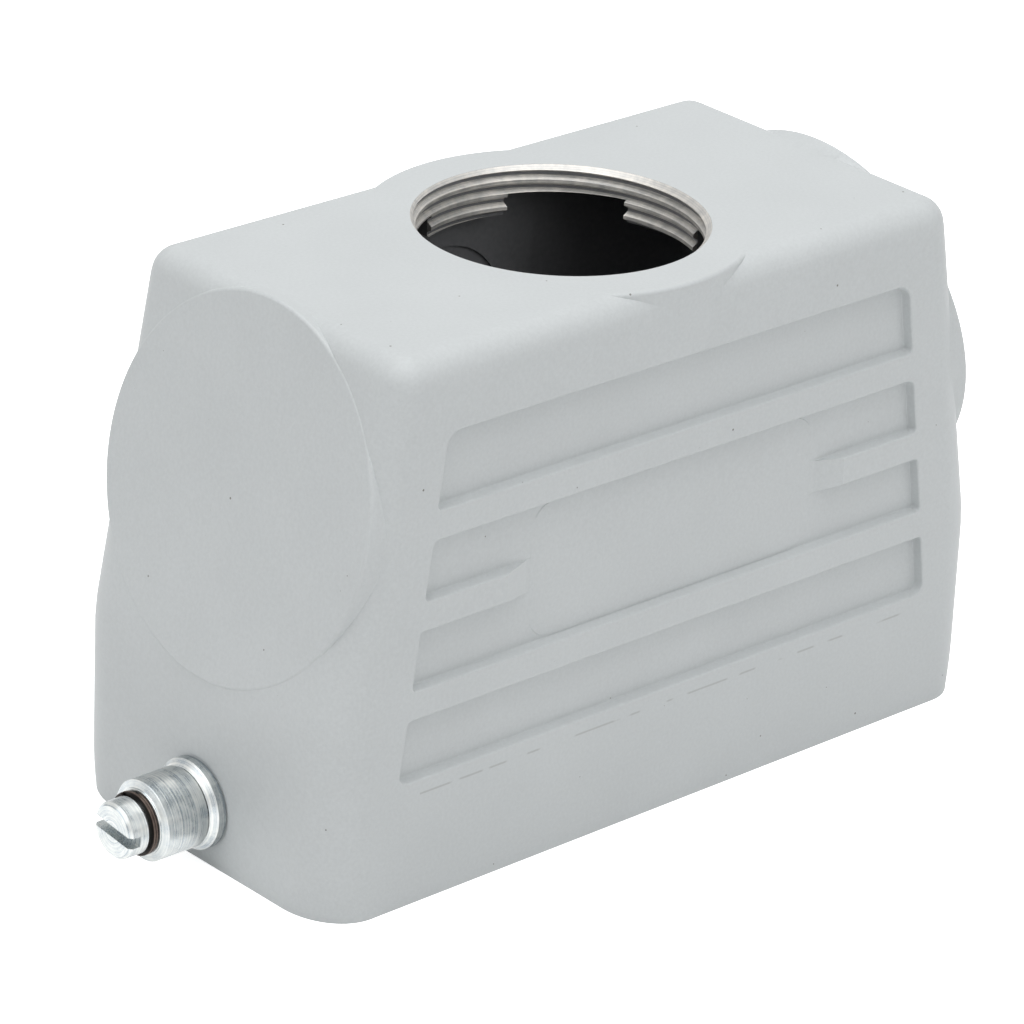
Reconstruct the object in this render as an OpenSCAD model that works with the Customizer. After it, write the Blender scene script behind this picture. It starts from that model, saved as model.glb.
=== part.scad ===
// Hood of a heavy duty rectangular connector: a die cast shell with a threaded cable entry on top
// and a locking peg on each end. Millimetres, +Z up, origin at the middle of the open rim.

/* [Hood shell] */
// Length of the hood over its end faces, pegs left out
hood_length = 93.5; // [88:0.5:100]
// Width of the hood over its side faces at the rim
hood_width = 42.3; // [40:0.1:46]
// Height of the flat top above the rim
hood_height = 60; // [57:0.5:66]
// Height at which the end faces start to lean inward
shoulder_height = 21.3; // [18:0.1:24]
// Lean of the end faces above the shoulder, in degrees
end_lean = 12.1; // [8:0.1:14]
// Draft of the side faces above the shoulder, in degrees
side_lean = 0.9; // [0.5:0.1:1.5]
// Length over which each face rounds into its leaning part
shoulder_blend = 4; // [2:0.5:6]
// Radius of the upright corners at the rim
corner_radius = 7.3; // [5:0.1:9]
// Radius of the edges round the top
top_edge_radius = 3.1; // [2:0.1:4]
// Thickness of the side walls
side_wall = 2.4; // [2:0.1:3]
// Thickness of the end walls
end_wall = 3.2; // [2.5:0.1:4]
// Thickness of the top wall
top_wall = 3; // [2.5:0.1:4]

/* [Cable entry] */
// Major diameter of the metric entry thread
thread_diameter = 32; // [25:1:32]
// Pitch of the entry thread
thread_pitch = 1.5; // [1:0.25:2]
// Offset of the threaded entry from the middle of the hood, along its length
entry_offset = 0.7; // [0:0.1:1]
// Width of the chamfer at the mouth of the entry
entry_chamfer = 0.6; // [0.4:0.1:0.8]
// Diameter of the round boss that carries the entry
entry_boss_diameter = 41.6; // [41:0.1:42]
// Offset of that boss from the middle of the hood, along its length
entry_boss_offset = 0.3; // [0:0.1:1]
// Depth of the four threaded lugs below the top face
lug_depth = 5.6; // [5:0.1:8]
// Width of each threaded lug
lug_width = 10.8; // [8:0.1:14]

/* [End bosses] */
// Diameter of the round blind boss on each end face
end_boss_diameter = 40.9; // [38:0.1:42]
// Height of the middle of each end boss
end_boss_height = 40.7; // [38:0.1:42]
// Distance that each end boss stands proud of its leaning face
end_boss_proud = 0.1; // [0.1:0.1:1]

/* [Side relief] */
// Depth of the recessed rows below the side faces
row_depth = 1.1; // [0.5:0.1:1.5]
// Height of the lowest row's bottom edge
first_row_height = 14.25; // [12:0.25:16]
// Heights of the recessed rows, lowest first
row_heights = [6.8, 6.2, 6.2, 7.95]; // [5:0.05:8]
// Height of the bars left between the rows
bar_height = 3.4; // [2:0.1:4]
// Half the length that the rows would have at the rim
row_half_length = 39.87; // [36:0.01:41]
// Shortening of each row's end for each millimetre of height
row_end_slope = 0.145; // [0.1:0.005:0.2]
// Width of the bare label panel between the middle rows
label_width = 40; // [30:1:44]
// Height of the label panel above the floor of the rows
label_step = 0.2; // [0.1:0.05:0.4]
// Corner radius of the label panel
label_corner = 3; // [1:0.5:3.5]
// Length of the ramp where a short bar drops to the panel
ramp_length = 3.6; // [2:0.1:5]
// Corner radii at the top of the rows, lowest row first
upper_corners = [0.4, 0.4, 1, 1.8]; // [0.2:0.1:2]
// Corner radii at the bottom of the rows, lowest row first
lower_corners = [1, 0.4, 0.4, 0.4]; // [0.2:0.1:2]

/* [Insert seats] */
// Spacing of the insert's fixing screws along the hood
seat_spacing_x = 77.5; // [70:0.5:78]
// Spacing of the insert's fixing screws across the hood
seat_spacing_y = 27; // [24:0.5:28]
// Radius of the tapped holes for the fixing screws
seat_hole_radius = 1.65; // [1.25:0.05:2]
// Depth of the tapped holes
seat_hole_depth = 11; // [6:1:14]
// Height of the seats above the rim
seat_height = 12; // [8:1:16]
// Length of the posts that carry the seats
post_length = 18; // [14:1:22]
// Radius of the rounded inner side of each post
post_radius = 4.6; // [4:0.1:5]

/* [Locking pegs] */
// Height of the pegs above the rim
peg_height = 6.6; // [6:0.1:9]
// Radius of the threaded shank in the end wall
shank_radius = 2.5; // [2:0.1:3]
// Radius of the collar against the end wall
collar_radius = 4.95; // [4.5:0.05:5.5]
// Length of the collar with its chamfer
collar_length = 1.85; // [1.5:0.05:2.5]
// Length of the collar's chamfer
collar_chamfer = 0.7; // [0.4:0.1:1]
// Radius of the journal that the roller turns on
journal_radius = 3.1; // [2.8:0.1:3.4]
// Running clearance of the roller on its journal, on the radius
roller_clearance = 0.05; // [0.02:0.01:0.1]
// Radius of the roller sleeve
roller_radius = 4.4; // [4:0.1:4.6]
// Length of the roller's full diameter and its sloping face
roller_length = 5.55; // [4:0.05:7]
// Length of the roller's outer hub
roller_hub_length = 0.45; // [0.2:0.05:0.6]
// Play of the roller at each end
roller_play = 0.05; // [0.03:0.01:0.15]
// Thickness of the retaining ring
ring_thickness = 0.6; // [0.4:0.1:0.8]
// Outer radius of the retaining ring
ring_radius = 3.5; // [3.3:0.1:3.7]
// Radius of the groove that holds the ring
groove_radius = 2.6; // [2.4:0.1:2.7]
// Clearance of the ring on the floor of its groove, on the radius
ring_clearance = 0.05; // [0.02:0.01:0.1]
// Length of that groove past the ring
groove_slack = 0.25; // [0.1:0.05:0.4]
// Length of the slotted tip past the groove
tip_length = 2.35; // [1.5:0.05:3]
// Chamfer of the tip
tip_chamfer = 0.4; // [0.2:0.1:0.6]
// Width of the driver slot
slot_width = 0.9; // [0.6:0.1:1.2]
// Depth of the driver slot
slot_depth = 1.3; // [0.8:0.1:1.6]
// Turn of the driver slot from the horizontal, in degrees
slot_angle = 6; // [-90:1:90]

/* [Hidden] */

cut = 0.5;                                        // overshoot of a cut past the face that it opens
layer = 0.1;                                      // thickness of a layer that only carries an outline
hull_fn = 32;                                     // segments of the round shapes inside a hull
round_fn = 96;                                    // segments of the true round faces
row_count = len(row_heights);
minor_radius = (thread_diameter - 1.0825 * thread_pitch) / 2;
inner_corner = corner_radius - end_wall;
inner_edge = 1.5;                                 // radius of the cavity's upper edges
post_reach = 12;                                  // how far a post runs into the walls beside it
lug_wall = 2.6;                                   // wall of the lugs outside the thread
lug_radius = thread_diameter / 2 + lug_wall;
boss_depth = 9;                                   // how far an end boss runs into the shell
entry_boss_base = 44;                             // height at which the entry boss starts, inside the shell
pad_half_width = 13.4;                            // thicker middle of each side wall, inside
pad_bottom = 25;
pad_thickness = 0.5;
disc_radius = 9.1;                                // shallow round recess in that pad
disc_height = 42;
disc_depth = 0.3;
edge_break = 0.2;                                 // small chamfers of the turned pieces
shank_length = end_wall;
ring_start = collar_length + 2 * roller_play + roller_length + roller_hub_length;
groove_length = ring_thickness + groove_slack;
tip_start = ring_start + groove_length;
peg_length = tip_start + tip_length;
cone_drop = 0.8;                                  // fall of the roller's sloping end face, on the radius
cone_length = 0.25;
turn_notch = 0.12;                                // groove between the two turns of the ring
ring_gap = 1.2;                                   // gap between the ring's ends
arc_step = 15;                                    // degrees between the points of a rounded corner
cast_grey = [0.73, 0.75, 0.75];
zinc = [0.78, 0.79, 0.78];
ring_brown = [0.22, 0.19, 0.17];

// Height of the bottom edge of row i
function row_bottom(i) = i == 0 ? first_row_height : row_bottom(i - 1) + row_heights[i - 1] + bar_height;

// Half length of a row at height z
function row_reach(z) = row_half_length - row_end_slope * z;

// Points of a quarter circle
function arc(centre, radius, start) =
    [for (t = [start:arc_step:start + 90]) centre + radius * [cos(t), sin(t)]];

// Rectangle with rounded corners, centred
module round_rect(length, width, radius) {
    for (sx = [-1, 1], sy = [-1, 1])
        translate([sx * (length / 2 - radius), sy * (width / 2 - radius)]) circle(radius, $fn = hull_fn);
}

// Ball with a true pole, so that a hull over it reaches its full height
module pole_ball(radius) {
    rotate_extrude($fn = hull_fn) intersection() {
        circle(radius, $fn = hull_fn);
        translate([0, -radius]) square([radius, 2 * radius]);
    }
}

// Closed form of the shell or of its cavity: straight to the shoulder, then leaning in to rounded top edges.
// The upright corners tighten steadily from the rim to the top.
module shell_form(inset_x, inset_y, top, base_radius, edge_radius) {
    length = hood_length - 2 * inset_x;
    width = hood_width - 2 * inset_y;
    rise = top - shoulder_height;
    blend = shoulder_blend / 2;
    tighten = (base_radius - edge_radius) / top;
    hull() {
        linear_extrude(layer) round_rect(length, width, base_radius);
        translate([0, 0, shoulder_height - blend])
            linear_extrude(layer)
                round_rect(length, width, base_radius - tighten * (shoulder_height - blend));
        translate([0, 0, shoulder_height])
            linear_extrude(layer)
                round_rect(length - blend * tan(end_lean) / 2, width - blend * tan(side_lean) / 2,
                           base_radius - tighten * shoulder_height);
        for (sx = [-1, 1], sy = [-1, 1])
            translate([sx * (length / 2 - rise * tan(end_lean) - edge_radius / cos(end_lean)
                             + edge_radius * tan(end_lean)),
                       sy * (width / 2 - rise * tan(side_lean) - edge_radius),
                       top - edge_radius])
                pole_ball(edge_radius);
    }
}

// Places its children on a leaning end face, +Z outward
module on_end_face(side, height) {
    mirror([side < 0 ? 1 : 0, 0, 0])
        translate([hood_length / 2 - (height - shoulder_height) * tan(end_lean), 0, height])
            rotate([0, 90 - end_lean, 0]) children();
}

// Places its children on a side face, +Z outward and +Y up the face, measured from the rim
module on_side_face(side, lean) {
    rotate([0, 0, side < 0 ? 0 : 180])
        translate([0, -hood_width / 2, shoulder_height]) rotate([90 - lean, 0, 0])
            translate([0, -shoulder_height, 0]) children();
}

// Places its children on a peg's axis, +Z outward from the end face
module at_peg(side) {
    mirror([side < 0 ? 1 : 0, 0, 0])
        translate([hood_length / 2, 0, peg_height]) rotate([0, 90, 0]) children();
}

// Outline of recessed row i: its ends follow the slope, its corners are rounded
module row_outline(i) {
    low = row_bottom(i);
    high = low + row_heights[i];
    below = lower_corners[i];
    above = upper_corners[i];
    polygon(concat(
        arc([row_reach(high) - above, high - above], above, 0),
        arc([above - row_reach(high), high - above], above, 90),
        arc([below - row_reach(low), low + below], below, 180),
        arc([row_reach(low) - below, low + below], below, 270)));
}

// Label panel, which spans the two middle rows and the bar between them
module label_outline() {
    low = row_bottom(1);
    high = row_bottom(2) + row_heights[2];
    translate([0, (low + high) / 2])
        union() {
            square([label_width - 2 * label_corner, high - low], center = true);
            square([label_width, high - low - 2 * label_corner], center = true);
            for (sx = [-1, 1], sy = [-1, 1])
                translate([sx * (label_width / 2 - label_corner), sy * ((high - low) / 2 - label_corner)])
                    circle(label_corner, $fn = round_fn);
        }
}

// What is cut from one side face: the rows, and the middle bar lowered to the label panel
module side_relief(side) {
    label_depth = row_depth - label_step;
    half = label_width / 2 + 0.5;
    on_side_face(side, 0)
        translate([0, 0, -row_depth]) linear_extrude(row_depth + cut) row_outline(0);
    on_side_face(side, side_lean) {
        difference() {
            for (i = [1:row_count - 1])
                translate([0, 0, -row_depth]) linear_extrude(row_depth + cut) row_outline(i);
            translate([0, 0, -row_depth - cut]) linear_extrude(label_step + cut) label_outline();
        }
        translate([0, row_bottom(2) + cut, 0]) rotate([90, 0, 0]) linear_extrude(bar_height + 2 * cut)
            polygon([[-half, -label_depth], [half, -label_depth],
                     [half + ramp_length, 0], [half + ramp_length, cut],
                     [-half - ramp_length, cut], [-half - ramp_length, 0]]);
    }
}

// Post in each corner of the cavity, solid to the walls, that the insert is screwed to
module insert_posts() {
    for (sx = [-1, 1], sy = [-1, 1])
        translate([sx * seat_spacing_x / 2, sy * seat_spacing_y / 2, seat_height])
            mirror([sx < 0 ? 1 : 0, 0, 0]) mirror([0, sy < 0 ? 1 : 0, 0]) {
                cylinder(r = post_radius, h = post_length, $fn = round_fn);
                translate([0, -post_radius, 0]) cube([post_reach, post_radius + post_reach, post_length]);
                translate([-post_radius, 0, 0]) cube([post_radius + cut, post_reach, post_length]);
            }
}

// Four lugs under the top wall that lengthen the entry thread
module entry_lugs() {
    intersection() {
        translate([entry_offset, 0, hood_height - lug_depth])
            cylinder(r = lug_radius, h = lug_depth, $fn = round_fn);
        translate([entry_offset, 0, hood_height - lug_depth / 2]) union() {
            cube([3 * lug_radius, lug_width, lug_depth], center = true);
            cube([lug_width, 3 * lug_radius, lug_depth], center = true);
        }
    }
}

// Thicker middle of each side wall, with a shallow round recess
module wall_pads() {
    for (side = [-1, 1]) on_side_face(side, side_lean) difference() {
        translate([-pad_half_width, pad_bottom, -side_wall - pad_thickness])
            cube([2 * pad_half_width, hood_height - pad_bottom - cut, pad_thickness + cut]);
        translate([0, disc_height, -side_wall - pad_thickness - cut])
            cylinder(r = disc_radius, h = disc_depth + cut, $fn = round_fn);
    }
}

// Free space inside the shell
module cavity() {
    difference() {
        union() {
            shell_form(end_wall, side_wall, hood_height - top_wall, inner_corner, inner_edge);
            translate([0, 0, -cut]) linear_extrude(cut + layer) hull()
                round_rect(hood_length - 2 * end_wall, hood_width - 2 * side_wall, inner_corner);
        }
        insert_posts();
        entry_lugs();
        wall_pads();
    }
}

// Round bosses on the top and on both ends
module bosses() {
    translate([entry_boss_offset, 0, entry_boss_base])
        cylinder(d = entry_boss_diameter, h = hood_height - entry_boss_base, $fn = round_fn);
    for (side = [-1, 1]) on_end_face(side, end_boss_height)
        translate([0, 0, -boss_depth])
            cylinder(d = end_boss_diameter, h = boss_depth + end_boss_proud, $fn = round_fn);
}

// One casting: shell, bosses, side relief, threaded entry and insert seats
module hood() {
    color(cast_grey) difference() {
        union() {
            shell_form(0, 0, hood_height, corner_radius, top_edge_radius);
            bosses();
        }
        cavity();
        for (side = [-1, 1]) side_relief(side);
        translate([entry_offset, 0, hood_height - lug_depth - cut])
            cylinder(r = minor_radius, h = lug_depth + 2 * cut, $fn = round_fn);
        translate([entry_offset, 0, hood_height - entry_chamfer])
            cylinder(r1 = minor_radius, r2 = minor_radius + entry_chamfer + cut, h = entry_chamfer + cut,
                     $fn = round_fn);
        for (sx = [-1, 1], sy = [-1, 1])
            translate([sx * seat_spacing_x / 2, sy * seat_spacing_y / 2, seat_height - cut])
                cylinder(r = seat_hole_radius, h = seat_hole_depth + cut, $fn = round_fn);
        for (side = [-1, 1]) at_peg(side) translate([0, 0, -end_wall - cut])
            cylinder(r = shank_radius, h = end_wall + 2 * cut, $fn = round_fn);
    }
}

// Turned stud: shank, chamfered collar, journal, ring groove and slotted tip
module locking_stud(side) {
    color(zinc) at_peg(side) difference() {
        rotate_extrude($fn = round_fn) polygon([
            [0, -shank_length], [shank_radius, -shank_length], [shank_radius, 0],
            [collar_radius - edge_break, 0], [collar_radius, edge_break],
            [collar_radius, collar_length - collar_chamfer],
            [collar_radius - collar_chamfer, collar_length],
            [journal_radius, collar_length], [journal_radius, ring_start],
            [groove_radius, ring_start], [groove_radius, tip_start],
            [journal_radius, tip_start], [journal_radius, peg_length - tip_chamfer],
            [journal_radius - tip_chamfer, peg_length], [0, peg_length]]);
        rotate([0, 0, 90 + slot_angle])
            translate([-journal_radius - cut, -slot_width / 2, peg_length - slot_depth])
                cube([2 * (journal_radius + cut), slot_width, slot_depth + cut]);
    }
}

// Sleeve that turns on the journal as the locking lever slides over it
module roller(side) {
    inner = journal_radius + roller_clearance;
    color(zinc) at_peg(side) translate([0, 0, collar_length + roller_play])
        rotate_extrude($fn = round_fn) polygon([
            [inner, 0], [roller_radius - edge_break, 0], [roller_radius, edge_break],
            [roller_radius, roller_length - cone_length],
            [roller_radius - cone_drop, roller_length],
            [roller_radius - cone_drop, roller_length + roller_hub_length],
            [inner, roller_length + roller_hub_length]]);
}

// Wound ring of two turns in the groove, with the gap between its ends
module retaining_ring(side) {
    inner = groove_radius + ring_clearance;
    half = ring_thickness / 2;
    color(ring_brown) at_peg(side) translate([0, 0, ring_start]) difference() {
        rotate_extrude($fn = round_fn) polygon([
            [inner, 0], [ring_radius, 0], [ring_radius, half - turn_notch / 2],
            [ring_radius - turn_notch, half], [ring_radius, half + turn_notch / 2],
            [ring_radius, ring_thickness], [inner, ring_thickness]]);
        translate([-ring_gap / 2, 0, -cut]) cube([ring_gap, ring_radius + cut, ring_thickness + 2 * cut]);
    }
}

hood();
locking_stud(-1);  // left_locking_stud
roller(-1);  // left_roller
retaining_ring(-1);  // left_retaining_ring
locking_stud(1);  // right_locking_stud
roller(1);  // right_roller
retaining_ring(1);  // right_retaining_ring
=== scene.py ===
import math

import bmesh
import bpy
import numpy as np
from mathutils import Matrix, Vector


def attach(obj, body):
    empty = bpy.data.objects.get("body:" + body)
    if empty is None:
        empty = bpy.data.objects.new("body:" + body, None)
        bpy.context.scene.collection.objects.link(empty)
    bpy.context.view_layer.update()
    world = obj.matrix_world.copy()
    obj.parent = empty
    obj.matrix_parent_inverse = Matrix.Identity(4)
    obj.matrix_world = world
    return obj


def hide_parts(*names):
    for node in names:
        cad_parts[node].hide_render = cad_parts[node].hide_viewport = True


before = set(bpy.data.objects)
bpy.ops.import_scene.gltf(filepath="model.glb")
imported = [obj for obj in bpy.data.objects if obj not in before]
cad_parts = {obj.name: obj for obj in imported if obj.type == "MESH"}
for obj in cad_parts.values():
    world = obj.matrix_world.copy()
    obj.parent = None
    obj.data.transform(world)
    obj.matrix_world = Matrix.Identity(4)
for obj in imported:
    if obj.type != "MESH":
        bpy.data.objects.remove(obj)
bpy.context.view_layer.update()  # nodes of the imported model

scene = bpy.context.scene
unit = 0.001  # every size below is in millimetres
tau = 2 * math.pi


def tangent(degrees):
    return math.tan(math.radians(degrees))


camera = {
    "azimuth": -42.942,
    "elevation": 24.687,
    "roll": 2.637,
    "distance": 607.44,
    "target": (14.588, 20.377, 14.873),
    "lens": 190.8,
    "sensor": 36,
}


def makeCamera(c):
    az, el, roll = (math.radians(c[k]) for k in ("azimuth", "elevation", "roll"))
    back = Vector((math.sin(az) * math.cos(el), -math.cos(az) * math.cos(el), math.sin(el)))
    side = Vector((0, 0, 1)).cross(back).normalized()
    up = back.cross(side)
    right = side * math.cos(roll) + up * math.sin(roll)
    above = up * math.cos(roll) - side * math.sin(roll)
    data = bpy.data.cameras.new("camera")
    data.lens, data.sensor_width = c["lens"], c["sensor"]
    data.clip_start, data.clip_end = 0.01, 20
    obj = bpy.data.objects.new("camera", data)
    scene.collection.objects.link(obj)
    place = Matrix((right, above, back)).transposed().to_4x4()
    place.translation = (Vector(c["target"]) + back * c["distance"]) * unit
    obj.matrix_world = place
    scene.camera = obj


makeCamera(camera)
print("camera made")


def toObject(name, solid):
    points, faces = solid
    mesh = bpy.data.meshes.new(name)
    mesh.from_pydata([tuple(p) for p in np.asarray(points, float) * unit], [], faces)
    bm = bmesh.new()
    bm.from_mesh(mesh)
    bmesh.ops.remove_doubles(bm, verts=bm.verts, dist=1e-7)
    bmesh.ops.dissolve_degenerate(bm, dist=1e-8, edges=bm.edges)
    bmesh.ops.recalc_face_normals(bm, faces=bm.faces)
    bm.to_mesh(mesh)
    bm.free()
    obj = bpy.data.objects.new(name, mesh)
    scene.collection.objects.link(obj)
    return obj


def together(solids):  # several closed forms in one mesh
    points, faces, base = [], [], 0
    for p, f in solids:
        points.append(np.asarray(p, float))
        faces += [[i + base for i in face] for face in f]
        base += len(p)
    return np.vstack(points), faces


def placed(solid, matrix):
    points, faces = solid
    m = np.array(matrix)
    p = np.asarray(points, float) @ m[:3, :3].T + m[:3, 3]
    return p, faces


def loft(rings):  # closed skin through rings with the same number of points, flat ends
    count, n = len(rings), len(rings[0])
    faces = [
        [k * n + i, k * n + (i + 1) % n, (k + 1) * n + (i + 1) % n, (k + 1) * n + i]
        for k in range(count - 1)
        for i in range(n)
    ]
    faces.append(list(range(n))[::-1])
    faces.append([(count - 1) * n + i for i in range(n)])
    return np.vstack(rings), faces


def lathe(profile, segments):  # (radius, height) pairs, open ends lie on the axis
    points, faces, rows = [], [], []
    for r, h in profile:
        start = len(points)
        if r < 1e-6:
            points.append((0, 0, h))
            rows.append([start] * segments)
        else:
            points += [
                (r * math.cos(tau * i / segments), r * math.sin(tau * i / segments), h)
                for i in range(segments)
            ]
            rows.append(list(range(start, start + segments)))
    pairs = list(zip(rows, rows[1:]))
    if profile[0][0] > 1e-6:
        pairs.append((rows[-1], rows[0]))
    for low, high in pairs:
        for i in range(segments):
            j = (i + 1) % segments
            face = [low[i], low[j], high[j], high[i]]
            face = [v for k, v in enumerate(face) if v not in face[:k]]
            if len(face) > 2:
                faces.append(face)
    return np.array(points, float), faces


def prism(outline, low, high):  # outline of (x, y) pairs, from low to high
    flat = np.asarray(outline, float)
    rings = [np.column_stack([flat, np.full(len(flat), h)]) for h in (low, high)]
    return loft(rings)


def softened(profile, radius, steps=3, closed=False):  # rounds the corners of a profile
    result, n = [], len(profile)
    for i, p in enumerate(profile):
        if not closed and i in (0, n - 1):
            result.append(tuple(p))
            continue
        before, here, after = (np.array(profile[j % n], float) for j in (i - 1, i, i + 1))
        a, b = before - here, after - here
        la, lb = np.linalg.norm(a), np.linalg.norm(b)
        bend = math.acos(np.clip(a @ b / la / lb, -1, 1))
        if bend > math.radians(175):
            result.append(tuple(here))
            continue
        reach = min(radius / math.tan(bend / 2), 0.45 * la, 0.45 * lb)
        pa, pb = here + a / la * reach, here + b / lb * reach
        for k in range(steps + 1):
            t = k / steps
            result.append(tuple((1 - t) ** 2 * pa + 2 * t * (1 - t) * here + t * t * pb))
    return result


def applied(obj):  # the evaluated result becomes the object's own plain mesh
    bpy.context.view_layer.update()
    evaluated = obj.evaluated_get(bpy.context.evaluated_depsgraph_get())
    mesh = bpy.data.meshes.new_from_object(evaluated)
    obj.modifiers.clear()
    obj.data = mesh
    return obj


def carve(obj, steps):  # steps of (operation, solid)
    tools = []
    for operation, solid in steps:
        tool = toObject("tool", solid) if isinstance(solid, tuple) else solid
        tools.append(tool)
        mod = obj.modifiers.new(operation, "BOOLEAN")
        mod.operation, mod.object, mod.solver = operation, tool, "MANIFOLD"
    applied(obj)
    for tool in tools:
        bpy.data.objects.remove(tool)
    return obj


def shade(obj, degrees):  # smooth, with edges sharper than the angle kept crisp
    mesh = obj.data
    mesh.shade_smooth()
    mesh.set_sharp_from_angle(angle=math.radians(degrees))
    mod = obj.modifiers.new("weights", "WEIGHTED_NORMAL")
    mod.keep_sharp, mod.weight = True, 60
    return applied(obj)


def blank(name):
    material = bpy.data.materials.new(name)
    material.use_nodes = True
    tree = material.node_tree
    return material, tree, tree.nodes["Principled BSDF"]


def put(tree, kind, links=None, **settings):  # adds a node, settings by property or input name
    node = tree.nodes.new(kind)
    for key, value in settings.items():
        if hasattr(node, key) and key not in ("inputs", "outputs"):
            setattr(node, key, value)
        else:
            node.inputs[key.replace("_", " ")].default_value = value
    for key, socket in (links or {}).items():
        tree.links.new(socket, node.inputs[key])
    return node


def maths(tree, operation, a, b=0.0, clamp=False):
    node = tree.nodes.new("ShaderNodeMath")
    node.operation, node.use_clamp = operation, clamp
    for index, value in enumerate((a, b)):
        if isinstance(value, (int, float)):
            node.inputs[index].default_value = value
        else:
            tree.links.new(value, node.inputs[index])
    return node.outputs[0]


def ranged(tree, value, low, high, newLow, newHigh):
    node = put(tree, "ShaderNodeMapRange", {"Value": value})
    limits = {"From Min": low, "From Max": high, "To Min": newLow, "To Max": newHigh}
    for key, number in limits.items():
        node.inputs[key].default_value = number
    return node.outputs[0]


def noise(tree, vector, scale, detail=2.0, rough=0.5):
    node = put(tree, "ShaderNodeTexNoise", {"Vector": vector}, Scale=scale, Detail=detail)
    node.inputs["Roughness"].default_value = rough
    return node.outputs["Fac"]


def blend(tree, factor, a, b):  # mixes two colours
    node = tree.nodes.new("ShaderNodeMix")
    node.data_type = "RGBA"
    tree.links.new(factor, node.inputs[0])
    for index, value in ((6, a), (7, b)):
        if isinstance(value, tuple):
            node.inputs[index].default_value = (*value, 1)
        else:
            tree.links.new(value, node.inputs[index])
    return node.outputs[2]


def linear(red, green, blue):  # display colour of 0 to 255 to scene colour
    def one(v):
        v /= 255
        return v / 12.92 if v < 0.04045 else ((v + 0.055) / 1.055) ** 2.4

    return tuple(one(v) for v in (red, green, blue))


def mixed(tree, a, b, share):
    return maths(tree, "ADD", maths(tree, "MULTIPLY", a, share), maths(tree, "MULTIPLY", b, 1 - share))


def objectPlace(tree):  # Object coordinates, whole and as x, y, z
    place = put(tree, "ShaderNodeTexCoord").outputs["Object"]
    return place, put(tree, "ShaderNodeSeparateXYZ", {"Vector": place}).outputs


def fromAxis(tree, a, b):  # distance from an axis
    square = maths(tree, "ADD", maths(tree, "MULTIPLY", a, a), maths(tree, "MULTIPLY", b, b))
    return maths(tree, "SQRT", square)


paint = {
    "colour": (190, 194, 195),
    "lighter": (197, 201, 202),
    "speck": (120, 120, 116),
    "grain": 2600,  # per metre, as cloud and specks
    "cloud": 90,
    "specks": 420,
    "speckSpread": 0.09,
    "speckFloor": 0.035,  # leaves only the largest specks
    "roughness": 0.5,
    "bump": 0.16,
    "bumpHeight": 0.06,
    "lineHeight": 12.5,  # where the two halves of the die met
    "lineHalf": 35,
    "lineOut": 20.5,
    "lineCore": 0.04,
    "lineWidth": 0.16,
    "lineStrength": 0.35,
}
# painted shade: a darker copy of the hood's paint, its colour darkened to stand in for the shade
# inside the cavity
paintedShadeInside = {"colour": (122, 123, 126), "lighter": (134, 135, 138), "grain": 1800}


def makePaint(name, p):  # fine powder coat, sparse specks and the faint line of the casting die
    material, tree, shader = blank(name)
    place, axes = objectPlace(tree)
    fine = noise(tree, place, p["grain"], 3.0, 0.6)
    broad = noise(tree, place, p["cloud"], 2.0, 0.5)
    tone = ranged(tree, mixed(tree, fine, broad, 0.7), 0.35, 0.65, 0, 1)
    colour = blend(tree, tone, linear(*p["colour"]), linear(*p["lighter"]))
    dots = put(tree, "ShaderNodeTexVoronoi", {"Vector": place}, Scale=p["specks"])
    chance = put(tree, "ShaderNodeSeparateXYZ", {"Vector": dots.outputs["Color"]}).outputs[0]
    size = maths(tree, "MULTIPLY", chance, p["speckSpread"])
    size = maths(tree, "SUBTRACT", size, p["speckFloor"])
    speck = maths(tree, "LESS_THAN", dots.outputs["Distance"], size)
    colour = blend(tree, speck, colour, linear(*p["speck"]))
    above = maths(tree, "ABSOLUTE", maths(tree, "SUBTRACT", axes[2], p["lineHeight"] * unit))
    line = ranged(tree, above, p["lineCore"] * unit, p["lineWidth"] * unit, 1, 0)
    within = maths(tree, "LESS_THAN", maths(tree, "ABSOLUTE", axes[0]), p["lineHalf"] * unit)
    outer = maths(tree, "GREATER_THAN", maths(tree, "ABSOLUTE", axes[1]), p["lineOut"] * unit)
    dashes = ranged(tree, noise(tree, place, p["specks"], 1.0), 0.47, 0.56, 0, 1)
    for share in (within, outer, dashes):
        line = maths(tree, "MULTIPLY", line, share)
    faint = maths(tree, "MULTIPLY", line, p["lineStrength"])
    colour = blend(tree, faint, colour, linear(*p["speck"]))
    tree.links.new(colour, shader.inputs["Base Color"])
    rough = ranged(tree, fine, 0.3, 0.7, p["roughness"] - 0.06, p["roughness"] + 0.08)
    tree.links.new(rough, shader.inputs["Roughness"])
    height = maths(tree, "ADD", fine, maths(tree, "MULTIPLY", line, 0.5))
    bump = put(tree, "ShaderNodeBump", {"Height": height}, Strength=p["bump"])
    bump.inputs["Distance"].default_value = p["bumpHeight"] * unit
    tree.links.new(bump.outputs[0], shader.inputs["Normal"])
    shader.inputs["Specular IOR Level"].default_value = 0.4
    return material


pegMetal = {
    "light": (219, 220, 216),
    "dark": (164, 172, 177),
    "lines": 5200,
    "cloud": 500,
    "roughLow": 0.2,
    "roughHigh": 0.42,
    "relief": 0.5,
    "metallic": 1.0,
    "stretch": 0.6,
}
ringMetal = {
    "light": (112, 98, 90),
    "dark": (52, 44, 40),
    "side": (26, 22, 20),
    "lines": 9000,
    "cloud": 900,
    "roughLow": 0.35,
    "roughHigh": 0.6,
    "relief": 0.4,
    "metallic": 0.8,
    "stretch": 0.6,
}
cutMetal = {
    "light": (222, 218, 211),
    "dark": (176, 176, 174),
    "lines": 6000,
    "cloud": 800,
    "roughLow": 0.36,
    "roughHigh": 0.58,
    "relief": 0.4,
    "metallic": 0.6,
    "stretch": 0.6,
}


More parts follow.
